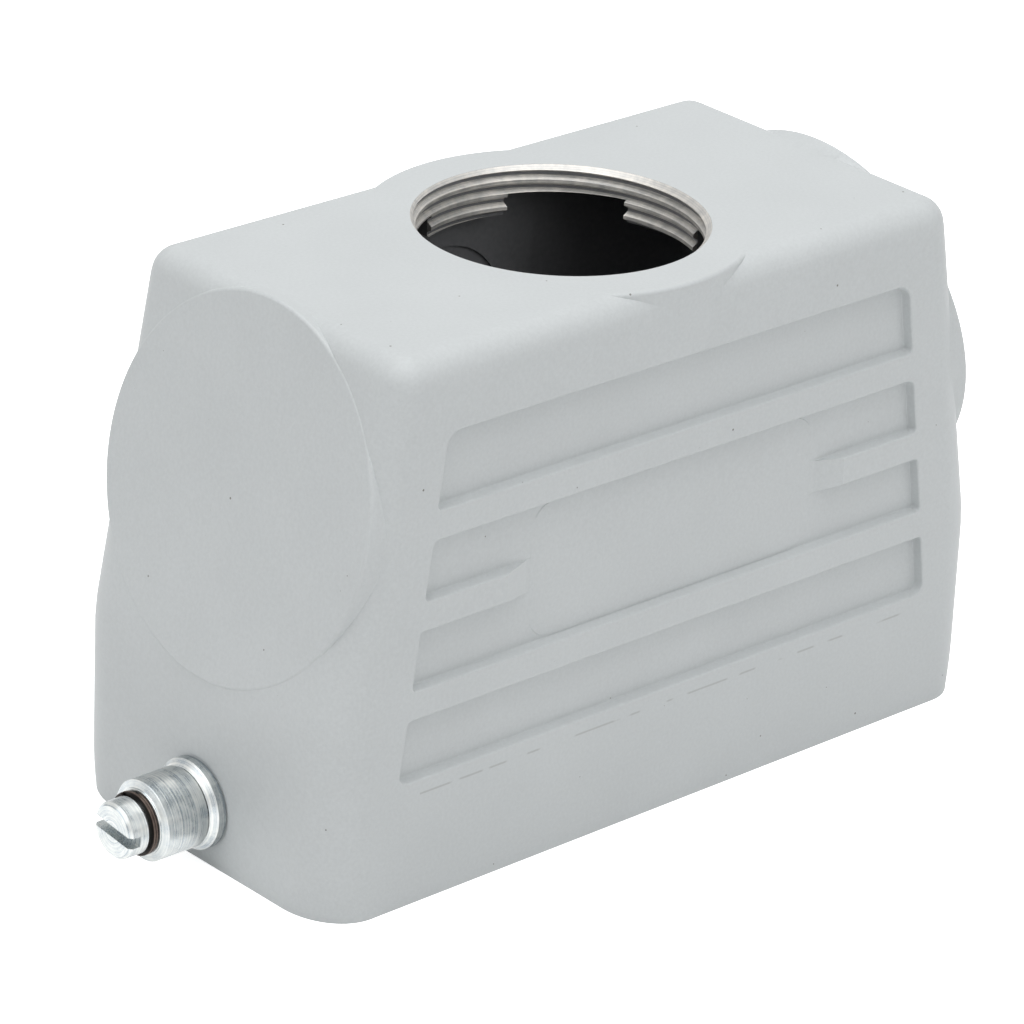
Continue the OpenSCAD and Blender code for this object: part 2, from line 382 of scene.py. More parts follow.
def turnedMetal(tree, axial, radial, place, around, p, shader):  # lines that run round an axis
    normal = put(tree, "ShaderNodeNewGeometry").outputs["Normal"]
    across = tree.nodes.new("ShaderNodeVectorMath")
    across.operation = "CROSS_PRODUCT"
    tree.links.new(normal, across.inputs[0])
    tree.links.new(around, across.inputs[1])
    tree.links.new(across.outputs[0], shader.inputs["Tangent"])
    lines = put(tree, "ShaderNodeCombineXYZ", {"X": axial, "Y": radial})
    coarse = noise(tree, lines.outputs[0], p["lines"], 3.0, 0.7)
    cloud = noise(tree, place, p["cloud"], 3.0, 0.6)
    both = mixed(tree, coarse, cloud, 0.62)
    tone = ranged(tree, both, 0.4, 0.62, 0, 1)
    colour = blend(tree, tone, linear(*p["dark"]), linear(*p["light"]))
    tree.links.new(colour, shader.inputs["Base Color"])
    rough = ranged(tree, both, 0.35, 0.65, p["roughLow"], p["roughHigh"])
    tree.links.new(rough, shader.inputs["Roughness"])
    bump = put(tree, "ShaderNodeBump", {"Height": coarse}, Strength=p["relief"])
    bump.inputs["Distance"].default_value = 0.04 * unit
    tree.links.new(bump.outputs[0], shader.inputs["Normal"])
    shader.inputs["Metallic"].default_value = p["metallic"]
    shader.inputs["Anisotropic"].default_value = p["stretch"]


def makePegMetal(name, p, height, rim=None):  # turned round the pegs' axis, which runs along x
    material, tree, shader = blank(name)
    place, axes = objectPlace(tree)
    up = maths(tree, "SUBTRACT", axes[2], height * unit)
    down = maths(tree, "MULTIPLY", up, -1)
    around = put(tree, "ShaderNodeCombineXYZ", {"Y": down, "Z": axes[1]}).outputs[0]
    radius = fromAxis(tree, up, axes[1])
    turnedMetal(tree, axes[0], radius, place, around, p, shader)
    if rim:  # painted sheen: the rim keeps the lighter tones, standing in for its grazing reflection, while the sides take the ring's dark colour
        rimSheen = ranged(tree, radius, (rim - 0.1) * unit, (rim - 0.02) * unit, 0, 1)
        tone = shader.inputs["Base Color"].links[0].from_socket
        colour = blend(tree, rimSheen, linear(*p["side"]), tone)
        tree.links.new(colour, shader.inputs["Base Color"])
    return material


def makeCutMetal(name, p, centre):  # turned round an upright axis
    material, tree, shader = blank(name)
    place, axes = objectPlace(tree)
    along = maths(tree, "SUBTRACT", axes[0], centre * unit)
    back = maths(tree, "MULTIPLY", axes[1], -1)
    around = put(tree, "ShaderNodeCombineXYZ", {"X": back, "Y": along}).outputs[0]
    turnedMetal(tree, axes[2], fromAxis(tree, along, axes[1]), place, around, p, shader)
    return material


def coated(obj, *materials):
    obj.data.materials.clear()
    for material in materials:
        obj.data.materials.append(material)
    return obj


hood = {
    "length": 93.5,
    "width": 42.3,
    "height": 60.0,
    "shoulder": 21.3,
    "endLean": 12.1,
    "sideLean": 0.9,
    "blend": 4.0,
    "corner": 5.75,
    "rimSwell": 1.6,
    "swellHeight": 6.0,
    "edge": 3.1,
    "rim": 0.06,
    "sideWall": 2.4,
    "endWall": 3.2,
    "topWall": 3.0,
    "innerCorner": 4.1,
    "innerEdge": 1.5,
    "cornerSteps": 20,
    "edgeSteps": 12,
}
boss = {
    "endRadius": 20.45,
    "endHeight": 40.7,
    "endProud": 0.1,
    "endDepth": 9.0,
    "endEdge": 0.4,
    "entryRadius": 20.8,
    "entryOffset": 0.3,
    "entryBase": 44.0,
    "entryEdge": 0.45,
    "segments": 256,
}
relief = {
    "depth": 1.1,
    "bottoms": (14.25, 24.45, 34.05, 43.65),
    "heights": (6.8, 6.2, 6.2, 7.95),
    "reach": 39.87,
    "slope": 0.145,
    "upperCorners": (0.4, 0.4, 1.0, 1.8),
    "lowerCorners": (1.0, 0.4, 0.4, 0.4),
    "wallLean": 13.0,
    "mouth": 0.22,
    "floor": 0.18,
    "cornerSteps": 8,
    "barDepth": 1.05,
    "barFlat": 20.5,
    "barEnd": 24.1,
    "labelWidth": 40.0,
    "labelDepth": 1.03,
    "labelCorner": 3.0,
    "labelMargin": 0.32,
}
inside = {
    "seatX": 77.5,
    "seatY": 27.0,
    "seatHeight": 12.0,
    "seatHole": 2.02,
    "seatDepth": 11.0,
    "postRadius": 4.6,
    "postLength": 18.0,
    "padHalf": 13.4,
    "padBottom": 25.0,
    "padThickness": 0.5,
    "discRadius": 9.1,
    "discHeight": 42.0,
    "discDepth": 0.3,
    "lugWidth": 10.8,
    "lugDepth": 5.6,
    "lugRadius": 18.6,
}
entry = {
    "offset": 0.7,
    "mouth": 15.8,
    "crest": 15.19,
    "root": 15.88,
    "pitch": 1.5,
    "crestFlat": 0.375,
    "rootGap": 0.06,
    "bury": 0.12,  # how far the ridge runs into the tube behind it
    "turns": 6,
    "phase": 58.03,  # height of a crest's middle where the thread passes +x
    "outer": 16.25,
    "segments": 192,
}
peg = {
    "height": 6.6,
    "face": 46.75,
    "shank": 2.5,
    "wall": 3.2,
}
over = 0.45  # how far cutting tools stand proud of a face
atEntry = Matrix.Translation((entry["offset"], 0, 0))


def formRings(length, width, top, baseCorner, edge, steps, edgeSteps, rim):
    # rings of a shell that leans in above the shoulder and tightens its upright corners
    h = hood
    tx, ty = tangent(h["endLean"]), tangent(h["sideLean"])
    start, span = h["shoulder"] - h["blend"] / 2, h["blend"]

    def drop(z):
        t = min(max(z - start, 0), span)
        return t * t / (2 * span) + max(z - start - span, 0)

    ballHeight, rise = top - edge, top - h["shoulder"]
    xBall = length / 2 - rise * tx - edge / math.cos(math.radians(h["endLean"])) + edge * tx
    yBall = width / 2 - rise * ty - edge

    def radii(z):
        if z < h["shoulder"]:
            swell = h["rimSwell"] * max(1 - z / h["swellHeight"], 0) ** 2
            return baseCorner, baseCorner + swell
        t = (z - h["shoulder"]) / (ballHeight - h["shoulder"])
        xEnd = length / 2 - drop(ballHeight) * tx - xBall
        yEnd = width / 2 - drop(ballHeight) * ty - yBall
        return baseCorner + (xEnd - baseCorner) * t, baseCorner + (yEnd - baseCorner) * t

    def ring(z, x, y, rx, ry):
        points = []
        for quarter in range(4):
            sx, sy = ((1, -1), (1, 1), (-1, 1), (-1, -1))[quarter]
            for k in range(steps + 1):
                a = math.radians(90 * (quarter - 1) + 90 * k / steps)
                points.append((sx * (x - rx) + rx * math.cos(a),
                               sy * (y - ry) + ry * math.sin(a), z))
        return np.array(points)

    rings, rimSteps = [], 5
    for k in range(rimSteps if rim > 0 else 0):
        a = math.radians(90 * k / rimSteps)
        inset = rim * (1 - math.sin(a))
        rings.append(ring(rim * (1 - math.cos(a)), length / 2 - inset, width / 2 - inset,
                          baseCorner - inset, baseCorner + h["rimSwell"] - inset))
    swellLevels = [h["swellHeight"] * k / 5 for k in range(1, 6)]
    levels = [rim] + swellLevels + [start + span * k / 10 for k in range(11)] + [ballHeight]
    for z in levels:
        rx, ry = radii(z)
        rings.append(ring(z, length / 2 - drop(z) * tx, width / 2 - drop(z) * ty, rx, ry))
    for k in range(1, edgeSteps + 1):
        a = math.radians(90 * k / edgeSteps)
        z = ballHeight + edge * math.sin(a)
        ball = edge * math.cos(a)
        rx = length / 2 - drop(z) * tx - xBall if a < math.radians(h["endLean"]) else ball
        ry = width / 2 - drop(z) * ty - yBall if a < math.radians(h["sideLean"]) else ball
        rx, ry = max(rx, 1e-4), max(ry, 1e-4)
        rings.append(ring(z, xBall + rx, yBall + ry, rx, ry))
    return rings


def onSide(side, lean):  # maps (along, up the face, depth into it) to the hood
    a = math.radians(lean)
    s = -1 if side < 0 else 1
    # side -1 is the front, where depth runs towards +y
    columns = Matrix((
        (1, 0, 0, 0),
        (0, -s * math.sin(a), -s * math.cos(a), s * hood["width"] / 2),
        (0, math.cos(a), -math.sin(a), hood["shoulder"]),
        (0, 0, 0, 1),
    ))
    return columns @ Matrix.Translation((0, -hood["shoulder"], 0))


def onEnd(side):  # maps (x up, y, z outward) to a leaning end face at the boss
    lift = boss["endHeight"]
    x = hood["length"] / 2 - (lift - hood["shoulder"]) * tangent(hood["endLean"])
    turn = Matrix.Rotation(math.radians(90 - hood["endLean"]), 4, "Y")
    place = Matrix.Translation((x, 0, lift)) @ turn
    return Matrix.Diagonal((side, 1, 1, 1)) @ place


def wallProfile():  # (distance inside the row's edge, depth) from the mouth to the floor
    r = relief
    lean, depth = math.radians(r["wallLean"]), r["depth"]
    run = depth * math.tan(lean)
    turn = math.pi / 2 - lean
    top = -run / 2 - r["mouth"] * math.tan(turn / 2)
    points = [(top - 0.6, -over)]
    steps, first = 6, math.radians(7)  # the rounding starts a little below the face
    for k in range(steps + 1):
        a = first + (turn - first) * k / steps
        points.append((top + r["mouth"] * math.sin(a), r["mouth"] * (1 - math.cos(a))))
    end = run / 2 + r["floor"] * math.tan(turn / 2)
    for k in range(steps):
        a = turn * (1 - k / steps)
        points.append((end - r["floor"] * math.sin(a), depth - r["floor"] * (1 - math.cos(a))))
    points.append((end, depth))
    return points


def rowRing(i, inset, depth):  # outline of row i moved inward, as points of (along, up, depth)
    r = relief
    low, high = r["bottoms"][i], r["bottoms"][i] + r["heights"][i]
    stretch = math.hypot(1, r["slope"])
    normal = math.degrees(math.atan(r["slope"]))
    half = []
    for radius, up in ((r["lowerCorners"][i], -1), (r["upperCorners"][i], 1)):
        radius = max(radius - inset, 0.04)
        z = low + inset + radius if up < 0 else high - inset - radius
        x = r["reach"] - r["slope"] * z - (inset + radius) * stretch
        first, last = (-90, normal) if up < 0 else (normal, 90)
        for k in range(r["cornerSteps"] + 1):
            a = math.radians(first + (last - first) * k / r["cornerSteps"])
            half.append((x + radius * math.cos(a), z + radius * math.sin(a), depth))
    other = [(-x, z, d) for x, z, d in reversed(half)]
    return np.array(half + other)


def rowPocket(i):
    profile = wallProfile()
    rings = [rowRing(i, inset, depth) for inset, depth in profile]
    rings[0] = rings[1].copy()
    rings[0][:, 2] = -over
    return loft(rings)


def barCut():  # lowers the middle bar to the label panel, with a ramp at each end
    r = relief
    right = softened([(r["barEnd"], -over), (r["barEnd"], 0.0), (r["barFlat"], r["barDepth"]),
                      (0, r["barDepth"])], 1.5, 4)
    right = [p for p in right if p[0] > 1]
    outline = right + [(-x, d) for x, d in reversed(right)]
    low = r["bottoms"][1] + r["heights"][1] - over
    high = r["bottoms"][2] + over
    rings = [np.array([(x, up, d) for x, d in outline]) for up in (low, high)]
    return loft(rings)


def labelPlate():
    r = relief
    low, high = r["bottoms"][1], r["bottoms"][2] + r["heights"][2]
    rings = []
    for inset, depth in ((-0.05, 1.6), (-0.05, 1.1), (0.1, r["labelDepth"])):
        half, points = r["labelWidth"] / 2 - inset, []
        bottom, top = low + r["labelMargin"], high - r["labelMargin"]
        radius = r["labelCorner"]
        for sx, sy, first in ((1, -1, -90), (1, 1, 0), (-1, 1, 90), (-1, -1, 180)):
            for k in range(13):
                a = math.radians(first + 90 * k / 12)
                z = (bottom + radius if sy < 0 else top - radius) + radius * math.sin(a)
                points.append((sx * (half - radius) + radius * math.cos(a), z, depth))
        rings.append(np.array(points))
    return loft(rings)


def disc(radius, low, high, segments=96):
    return lathe([(0, low), (radius, low), (radius, high), (0, high)], segments)


def endBoss(side):
    b = boss
    e = b["endEdge"]
    profile = [(0, -b["endDepth"]), (b["endRadius"], -b["endDepth"])]
    for k in range(7):
        a = math.radians(90 * k / 6)
        profile.append((b["endRadius"] - e + e * math.cos(a), b["endProud"] - e + e * math.sin(a)))
    profile.append((0, b["endProud"]))
    return placed(lathe(profile, b["segments"]), onEnd(side))


def entryBoss():
    b = boss
    e, top = b["entryEdge"], hood["height"]
    profile = [(0, b["entryBase"]), (b["entryRadius"], b["entryBase"])]
    for k in range(7):
        a = math.radians(90 * k / 6)
        profile.append((b["entryRadius"] - e + e * math.cos(a), top - e + e * math.sin(a)))
    profile.append((0, top))
    return placed(lathe(profile, b["segments"]), Matrix.Translation((b["entryOffset"], 0, 0)))


def around(obj, radius):  # keeps what lies within a radius of the entry's axis
    return carve(obj, [("INTERSECT", placed(disc(radius, 50, 58.5), atEntry))])


def post(sx, sy):
    n, out = inside, 12
    x, y, r = n["seatX"] / 2, n["seatY"] / 2, n["postRadius"]
    arc = [(x + r * math.cos(math.radians(a)), y + r * math.sin(math.radians(a)))
           for a in range(180, 271, 6)]
    outline = arc + [(x + out, y - r), (x + out, y + out), (x - r, y + out)]
    solid = prism(outline, n["seatHeight"], n["seatHeight"] + n["postLength"])
    return placed(solid, Matrix.Diagonal((sx, sy, 1, 1)))


def pad(side):
    n, wall = inside, hood["sideWall"]
    w, low, high = n["padHalf"], n["padBottom"], hood["height"] - 0.5
    box = [(-w, low), (w, low), (w, high), (-w, high)]
    return placed(prism(box, wall - 0.5, wall + n["padThickness"]), onSide(side, hood["sideLean"]))


def padRecess(side):
    n, wall = inside, hood["sideWall"]
    solid = disc(n["discRadius"], wall + n["padThickness"] - n["discDepth"], wall + 2)
    return placed(solid, onSide(side, hood["sideLean"]) @ Matrix.Translation((0, n["discHeight"], 0)))


def cross(width, reach, low, high, centre):
    w, r = width / 2, reach
    outline = [(w, -w), (r, -w), (r, w), (w, w), (w, r), (-w, r), (-w, w), (-r, w), (-r, -w),
               (-w, -w), (-w, -r), (w, -r)]
    return placed(prism(outline, low, high), Matrix.Translation((centre, 0, 0)))


def makeHollow():  # the cavity, with its posts, pads and lugs left standing
    h, n, sides = hood, inside, (-1, 1)
    hollow = toObject("hollow", loft(formRings(
        h["length"] - 2 * h["endWall"], h["width"] - 2 * h["sideWall"],
        h["height"] - h["topWall"], h["innerCorner"], h["innerEdge"], 8, 6, 0)))
    for v in hollow.data.vertices:  # the cavity starts a little below the rim
        if v.co.z < 1e-6:
            v.co.z = -0.5 * unit
    lugBottom = h["height"] - n["lugDepth"]
    lugs = toObject("lugs", cross(n["lugWidth"], 30, lugBottom, 59.0, entry["offset"]))
    around(lugs, n["lugRadius"])
    pads = toObject("pads", together([pad(s) for s in sides]))
    carve(pads, [("DIFFERENCE", together([padRecess(s) for s in sides]))])
    return carve(hollow, [
        ("DIFFERENCE", together([post(sx, sy) for sx in sides for sy in sides])),
        ("DIFFERENCE", pads),
        ("DIFFERENCE", lugs),
    ])


def makeHood():
    h, n, sides = hood, inside, (-1, 1)
    shell = toObject("hoodShell", loft(formRings(
        h["length"], h["width"], h["height"], h["corner"], h["edge"], h["cornerSteps"],
        h["edgeSteps"], h["rim"])))
    rows = [placed(rowPocket(i), onSide(s, h["sideLean"] if i else 0))
            for s in sides for i in range(len(relief["heights"]))]
    hole = disc(n["seatHole"], n["seatHeight"] - 1, n["seatHeight"] + n["seatDepth"], 48)
    holes = [placed(hole, Matrix.Translation((sx * n["seatX"] / 2, sy * n["seatY"] / 2, 0)))
             for sx in sides for sy in sides]
    shanks = [placed(disc(peg["shank"], -6, 1, 48), onPeg(s)) for s in sides]
    leaning = [onSide(s, h["sideLean"]) for s in sides]
    carve(shell, [
        ("UNION", together([endBoss(s) for s in sides])),
        ("UNION", entryBoss()),
        ("DIFFERENCE", together(rows)),
        ("DIFFERENCE", together([placed(barCut(), place) for place in leaning])),
        ("UNION", together([placed(labelPlate(), place) for place in leaning])),
        ("DIFFERENCE", makeHollow()),
        ("DIFFERENCE", placed(disc(entry["mouth"], 50, 62, 256), atEntry)),
        ("DIFFERENCE", together(holes)),
        ("DIFFERENCE", together(shanks)),
    ])
    return shade(shell, 28)


def isInside(p):  # true for faces of the cavity
    h = hood
    lean = max(p.z - h["shoulder"], 0)
    halfX = h["length"] / 2 - h["endWall"] - lean * tangent(h["endLean"]) + 0.1
    halfY = h["width"] / 2 - h["sideWall"] - lean * tangent(h["sideLean"]) + 0.1
    inBox = abs(p.x) < halfX and abs(p.y) < halfY and 0.01 < p.z < h["height"] - h["topWall"] + 0.1
    inHole = math.hypot(p.x - entry["offset"], p.y) < entry["mouth"] + 0.05
    return inBox or inHole and p.z < h["height"] - 0.01


def onPeg(side):  # maps (x, y, z outward) to a peg's axis
    turn = Matrix.Rotation(math.pi / 2, 4, "Y")
    foot = Matrix.Translation((peg["face"], 0, peg["height"]))
    return Matrix.Diagonal((side, 1, 1, 1)) @ foot @ turn


def sweepTree(name):  # a trapezoid swept along a helix, repeated on given points
    tree = bpy.data.node_groups.new(name, "GeometryNodeTree")
    face = tree.interface
    face.new_socket("Geometry", in_out="INPUT", socket_type="NodeSocketGeometry")
    face.new_socket("Geometry", in_out="OUTPUT", socket_type="NodeSocketGeometry")
    sizes = {}
    for key, socket in (("Radius", "Float"), ("Turns", "Float"), ("Rise", "Float"), ("Steps", "Int"),
                        ("Inner Width", "Float"), ("Outer Width", "Float"), ("Depth", "Float"),
                        ("Material", "Material")):
        made = face.new_socket(key, in_out="INPUT", socket_type="NodeSocket" + socket)
        sizes[key] = made.identifier
    nodes, links = tree.nodes, tree.links
    source, sink = nodes.new("NodeGroupInput"), nodes.new("NodeGroupOutput")
    helix = nodes.new("GeometryNodeCurveSpiral")
    for key, end in (("Steps", "Resolution"), ("Turns", "Rotations"), ("Radius", "Start Radius"),
                     ("Radius", "End Radius"), ("Rise", "Height")):
        links.new(source.outputs[key], helix.inputs[end])
    upright = nodes.new("GeometryNodeSetCurveNormal")
    upright.mode = "Z_UP"
    helix.inputs["Reverse"].default_value = True
    links.new(helix.outputs[0], upright.inputs["Curve"])
    section = nodes.new("GeometryNodeCurvePrimitiveQuadrilateral")
    section.mode = "TRAPEZOID"
    for key, end in (("Inner Width", "Bottom Width"), ("Outer Width", "Top Width"),
                     ("Depth", "Height")):
        links.new(source.outputs[key], section.inputs[end])
    section.inputs["Offset"].default_value = 0
    turned = nodes.new("GeometryNodeTransform")
    turned.inputs["Rotation"].default_value = (0, 0, -math.pi / 2)
    links.new(section.outputs[0], turned.inputs[0])
    sweep = nodes.new("GeometryNodeCurveToMesh")
    sweep.inputs["Fill Caps"].default_value = True
    links.new(upright.outputs[0], sweep.inputs["Curve"])
    links.new(turned.outputs[0], sweep.inputs["Profile Curve"])
    spread = nodes.new("GeometryNodeInstanceOnPoints")
    links.new(source.outputs["Geometry"], spread.inputs["Points"])
    links.new(sweep.outputs[0], spread.inputs["Instance"])
    real = nodes.new("GeometryNodeRealizeInstances")
    links.new(spread.outputs[0], real.inputs[0])
    finish = nodes.new("GeometryNodeSetMaterial")
    links.new(real.outputs[0], finish.inputs["Geometry"])
    links.new(source.outputs["Material"], finish.inputs["Material"])
    links.new(finish.outputs[0], sink.inputs[0])
    return tree, sizes


helixTree, helixInputs = sweepTree("helixSweep")


def helixObject(name, starts, values, material):  # one ridge or coil from each start point
    mesh = bpy.data.meshes.new(name)
    mesh.from_pydata([tuple(c * unit for c in p) for p in starts], [], [])
    obj = bpy.data.objects.new(name, mesh)
    scene.collection.objects.link(obj)
    mod = obj.modifiers.new("helix", "NODES")
    mod.node_group = helixTree
    for key, value in values.items():
        whole = key in ("Turns", "Steps")
        mod[helixInputs[key]] = value if whole else value * unit
    mod[helixInputs["Material"]] = material
    applied(obj)
    bm = bmesh.new()
    bm.from_mesh(obj.data)
    bmesh.ops.remove_doubles(bm, verts=bm.verts, dist=1e-8)
    bmesh.ops.recalc_face_normals(bm, faces=bm.faces)
    bm.to_mesh(obj.data)
    bm.free()
    return obj


def moved(obj, matrix):  # turns the mesh itself, the object stays at the origin
    m = matrix.copy()
    m.translation *= unit
    obj.data.transform(m)
    if m.determinant() < 0:
        obj.data.flip_normals()
    return obj


def makeEntryThread(material):
    e, n = entry, inside
    bottom, top = hood["height"] - n["lugDepth"] + 0.02, hood["height"] - 0.01
    tube = [(e["root"], 53), (e["outer"], 53), (e["outer"], 61), (e["root"], 61)]
    depth = e["root"] - e["crest"] + e["bury"]
    ridge = helixObject("entryThread", [(0, 0, e["phase"] - 4 * e["pitch"])], {
        "Radius": e["crest"] + depth / 2, "Turns": e["turns"], "Rise": e["turns"] * e["pitch"],
        "Steps": e["segments"], "Inner Width": e["crestFlat"],
        "Outer Width": e["pitch"] - e["rootGap"], "Depth": depth}, material)
    moved(ridge, atEntry)
    mouth = e["mouth"] - 0.01
    cone = [(0, top - 3), (mouth - 3, top - 3), (mouth, top), (mouth + 2, top + 2), (0, top + 2)]
    ceiling = hood["height"] - hood["topWall"] + 0.02
    gaps = toObject("gaps", placed(disc(22, bottom - 8, ceiling), atEntry))
    lugs = cross(n["lugWidth"] - 0.04, 30, bottom, 70, e["offset"])
    carve(gaps, [("DIFFERENCE", lugs)])
    carve(ridge, [
        ("UNION", placed(lathe(tube, e["segments"]), atEntry)),
        ("DIFFERENCE", placed(lathe(cone, e["segments"]), atEntry)),
        ("DIFFERENCE", placed(disc(22, top, 66), atEntry)),
        ("DIFFERENCE", gaps),
    ])
    return coated(shade(ridge, 25), material)


seatThread = {
    "crest": 1.66,
    "depth": 0.42,
    "pitch": 0.7,
    "turns": 14,
    "start": 0.5,  # above the post's foot
    "crestFlat": 0.09,
    "rootWidth": 0.6,
    "steps": 28,
}


def makeSeatThreads(material):
    t, n = seatThread, inside
    height = n["seatHeight"] + t["start"]
    starts = [(sx * n["seatX"] / 2, sy * n["seatY"] / 2, height)
              for sx in (-1, 1) for sy in (-1, 1)]
    obj = helixObject("seatThreads", starts, {
        "Radius": t["crest"] + t["depth"] / 2, "Turns": t["turns"],
        "Rise": t["turns"] * t["pitch"], "Steps": t["steps"], "Inner Width": t["crestFlat"],
        "Outer Width": t["rootWidth"], "Depth": t["depth"]}, material)
    return coated(shade(obj, 25), material)


stud = {
    "collar": 4.95,
    "collarLength": 1.85,
    "collarChamfer": 0.7,
    "journal": 3.1,
    "ringStart": 7.76,
    "groove": 2.6,
    "tipStart": 8.8,
    "end": 11.15,
    "tipChamfer": 0.4,
    "slotWidth": 1.25,
    "slotDepth": 1.3,
    "slotAngle": 6,
    "segments": 128,
    "softness": 0.06,
}
roller = {
    "start": 1.9,
    "radius": 4.4,
    "bore": 3.15,
    "length": 5.55,
    "coneDrop": 0.8,
    "coneLength": 0.25,
    "hub": 0.27,
    "edge": 0.2,
}
ring = {
    "start": 7.78,
    "inner": 2.65,
    "outer": 3.45,
    "wire": 0.25,
    "pitch": 0.27,
    "turns": 1.9,
    "steps": 64,
    "round": 0.05,
    "openingAngle": 184,
}


def toolMarks(radius, start, end, pitch, depth):  # shallow rings left by turning
    count = max(int((end - start) / pitch), 1)
    points = []
    for k in range(count):
        d = start + (end - start) * k / count
        step = (end - start) / count
        points += [(radius, d + 0.15 * step), (radius - depth, d + 0.5 * step),
                   (radius, d + 0.85 * step)]
    return points


def sideName(side, piece):
    return ("left" if side < 0 else "right") + piece


def makeStud(side, material):
    s = stud
    c, journal, bevel = s["collar"], s["journal"], s["tipChamfer"]
    shank, foot = peg["shank"] + 0.01, 0.05 - peg["wall"]
    edge = s["end"] - bevel
    profile = softened([
        (0, foot), (shank - 0.31, foot), (shank, foot + 0.3), (shank, 0.02),
        (c - 0.2, 0.02), (c, 0.2), (c, s["collarLength"] - s["collarChamfer"]),
        (c - s["collarChamfer"], s["collarLength"]), (journal, s["collarLength"]),
        (journal, s["ringStart"]), (s["groove"], s["ringStart"]), (s["groove"], s["tipStart"]),
        (journal, s["tipStart"]),
    ], s["softness"])
    profile += toolMarks(journal, s["tipStart"] + 0.1, edge - 0.1, 0.22, 0.02)
    profile += softened([(journal, edge - 0.08), (journal, edge), (journal - bevel, s["end"]),
                         (0, s["end"])], s["softness"])
    solid = placed(lathe(profile, s["segments"]), onPeg(side))
    obj = toObject(sideName(side, "LockingStud"), solid)
    w, reach = s["slotWidth"] / 2, journal + 1
    slot = [(-reach, -w), (reach, -w), (reach, w), (-reach, w)]
    cut = prism(slot, s["end"] - s["slotDepth"], s["end"] + 1)
    turn = Matrix.Rotation(math.radians(90 + s["slotAngle"]), 4, "Z")
    carve(obj, [("DIFFERENCE", placed(cut, onPeg(side) @ turn))])
    return shade(coated(obj, material), 28)


def makeRoller(side, material):
    r = roller
    a, b, shoulder = r["start"], r["start"] + r["length"], r["radius"] - r["coneDrop"]
    cone, hubEnd = b - r["coneLength"], b + r["hub"]
    profile = softened([(r["bore"], a), (r["radius"] - r["edge"], a),
                        (r["radius"], a + r["edge"])], 0.05)
    profile += toolMarks(r["radius"], a + r["edge"] + 0.05, cone - 0.15, 0.3, 0.006)
    profile += softened([(r["radius"], cone - 0.1), (r["radius"], cone), (shoulder, b),
                         (shoulder, hubEnd), (r["bore"], hubEnd)], 0.06)
    solid = placed(lathe(profile, stud["segments"]), onPeg(side))
    return shade(coated(toObject(sideName(side, "Roller"), solid), material), 28)


def makeRing(side, material):
    r = ring
    obj = helixObject(sideName(side, "RetainingRing"), [(0, 0, 0)], {
        "Radius": (r["inner"] + r["outer"]) / 2, "Turns": r["turns"],
        "Rise": r["pitch"] * r["turns"], "Steps": r["steps"], "Inner Width": r["wire"],
        "Outer Width": r["wire"], "Depth": r["outer"] - r["inner"]}, material)
    bevel = obj.modifiers.new("bevel", "BEVEL")
    bevel.width, bevel.segments, bevel.limit_method = r["round"] * unit, 2, "ANGLE"
    applied(obj)
    heights = [v.co.z for v in obj.data.vertices]
    lift = Matrix.Translation((0, 0, r["start"] - min(heights) / unit))
    turn = Matrix.Rotation(math.radians(r["openingAngle"]), 4, "Z")
    moved(obj, onPeg(side) @ lift @ turn)
    return coated(shade(obj, 28), material)


paintMaterial = makePaint("hoodPaint", paint)
insideShadeMaterial = makePaint("paintedShadeInside", {**paint, **paintedShadeInside})
cutMaterial = makeCutMetal("cutMetal", cutMetal, entry["offset"])
pegMaterial = makePegMetal("pegMetal", pegMetal, peg["height"])
ringMaterial = makePegMetal("ringMetal", ringMetal, peg["height"], ring["outer"])

hoodShell = coated(makeHood(), paintMaterial, insideShadeMaterial)
# the cavity's faces take the darker copy of the paint, which is painted shade
for face in hoodShell.data.polygons:
    face.material_index = 1 if isInside(face.center / unit) else 0
print("hood made:", len(hoodShell.data.polygons), "faces")

entryThread = makeEntryThread(cutMaterial)
seatThreads = makeSeatThreads(cutMaterial)
print("threads made:", len(entryThread.data.polygons), len(seatThreads.data.polygons), "faces")

for piece in (hoodShell, entryThread, seatThreads):
    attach(piece, "housing")
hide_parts("hood")

for side, word in ((-1, "left"), (1, "right")):
    studPiece, rollerPiece = makeStud(side, pegMaterial), makeRoller(side, pegMaterial)
    ringPiece = makeRing(side, ringMaterial)
    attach(studPiece, "housing")
    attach(ringPiece, "housing")
    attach(rollerPiece, word + "_roller_sleeve")
    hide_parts(word + "_locking_stud")
    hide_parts(word + "_roller")
    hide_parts(word + "_retaining_ring")
print("pegs made")

studio = {
    "floorSize": 6000,
    "floorColour": 0.9,
    "floorGlow": 0.7,
    "shadeHalf": (43, 18.4),  # painted shade: the floor inside the hood's footprint is coloured nearly black
    "shadeColour": 0.01,
    "sky": 0.24,
    "topLamp": (0, 0, 1300, 1500, 14.3),
    "frontLamp": (150, -1000, 750, 1300, 3.9),
    "leftLamp": (-1000, 50, 750, 1300, 3.7),
}


def seenRays(tree):  # the rays that show the background: camera, mirror and glass
    path = tree.nodes.new("ShaderNodeLightPath")
    seen = maths(tree, "MAXIMUM", path.outputs["Is Camera Ray"], path.outputs["Is Glossy Ray"])
    return maths(tree, "MAXIMUM", seen, path.outputs["Is Transmission Ray"])


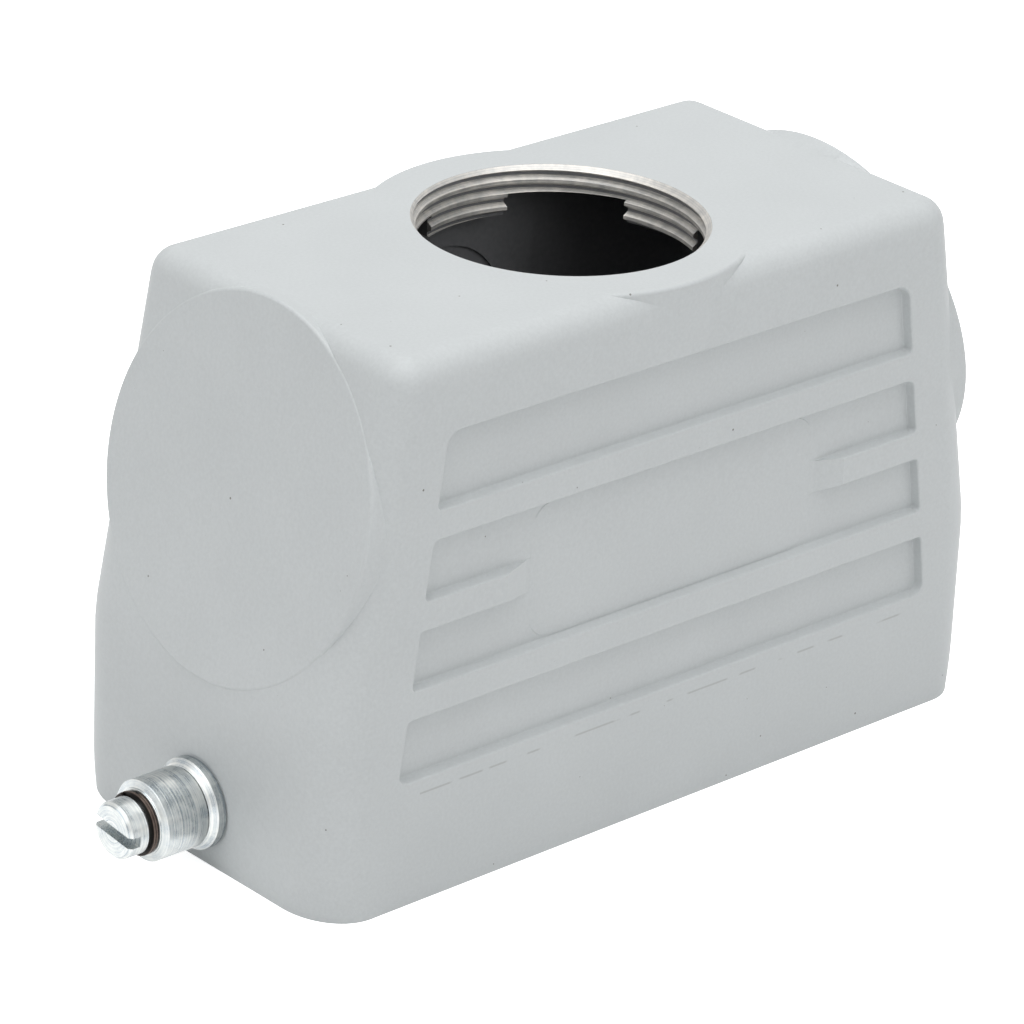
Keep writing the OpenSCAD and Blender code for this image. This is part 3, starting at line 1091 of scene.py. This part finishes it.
def makeFloor(s):
    half = s["floorSize"] / 2
    points = [(-half, -half, 0), (half, -half, 0), (half, half, 0), (-half, half, 0)]
    mesh = bpy.data.meshes.new("floor")
    mesh.from_pydata([tuple(c * unit for c in p) for p in points], [], [(0, 1, 2, 3)])
    obj = bpy.data.objects.new("floor", mesh)
    scene.collection.objects.link(obj)
    material = bpy.data.materials.new("floorPaper")
    material.use_nodes = True
    tree = material.node_tree
    tree.nodes.clear()
    axes = objectPlace(tree)[1]
    within = [maths(tree, "LESS_THAN", maths(tree, "ABSOLUTE", axis), half * unit)
              for axis, half in zip(axes, s["shadeHalf"])]
    # painted shade: inside the hood's footprint the floor turns nearly black and loses its glow
    paintedShadeMask = maths(tree, "MULTIPLY", *within)
    paper = put(tree, "ShaderNodeBsdfDiffuse")
    colour = blend(tree, paintedShadeMask, (s["floorColour"],) * 3, (s["shadeColour"],) * 3)
    tree.links.new(colour, paper.inputs[0])
    glow = put(tree, "ShaderNodeEmission", Color=(1, 1, 1, 1), Strength=s["floorGlow"])
    both = tree.nodes.new("ShaderNodeAddShader")
    tree.links.new(paper.outputs[0], both.inputs[0])
    tree.links.new(glow.outputs[0], both.inputs[1])
    seen = maths(tree, "MULTIPLY", seenRays(tree), maths(tree, "SUBTRACT", 1.0, paintedShadeMask))
    mix = tree.nodes.new("ShaderNodeMixShader")
    tree.links.new(seen, mix.inputs[0])
    tree.links.new(paper.outputs[0], mix.inputs[1])
    tree.links.new(both.outputs[0], mix.inputs[2])
    out = tree.nodes.new("ShaderNodeOutputMaterial")
    tree.links.new(mix.outputs[0], out.inputs[0])
    mesh.materials.append(material)


def makeWorld(s):
    world = bpy.data.worlds.new("studio")
    scene.world = world
    world.use_nodes = True
    tree = world.node_tree
    tree.nodes.clear()
    lit = put(tree, "ShaderNodeBackground", Color=(1, 1, 1, 1), Strength=s["sky"])
    white = put(tree, "ShaderNodeBackground", Color=(1, 1, 1, 1), Strength=1.0)
    mix = tree.nodes.new("ShaderNodeMixShader")
    tree.links.new(seenRays(tree), mix.inputs[0])
    tree.links.new(lit.outputs[0], mix.inputs[1])
    tree.links.new(white.outputs[0], mix.inputs[2])
    out = tree.nodes.new("ShaderNodeOutputWorld")
    tree.links.new(mix.outputs[0], out.inputs[0])


def makeLamp(name, x, y, z, size, power):
    data = bpy.data.lights.new(name, "AREA")
    data.shape, data.size, data.energy = "DISK", size * unit, power
    obj = bpy.data.objects.new(name, data)
    scene.collection.objects.link(obj)
    spot = Vector((x, y, z)) * unit
    obj.location = spot
    obj.rotation_euler = (Vector((0, 0, 0.03)) - spot).to_track_quat("-Z", "Y").to_euler()
    return obj


makeFloor(studio)
makeWorld(studio)
for lamp in ("topLamp", "frontLamp", "leftLamp"):
    makeLamp(lamp, *studio[lamp])
scene.view_settings.view_transform = "Standard"
print("studio made")
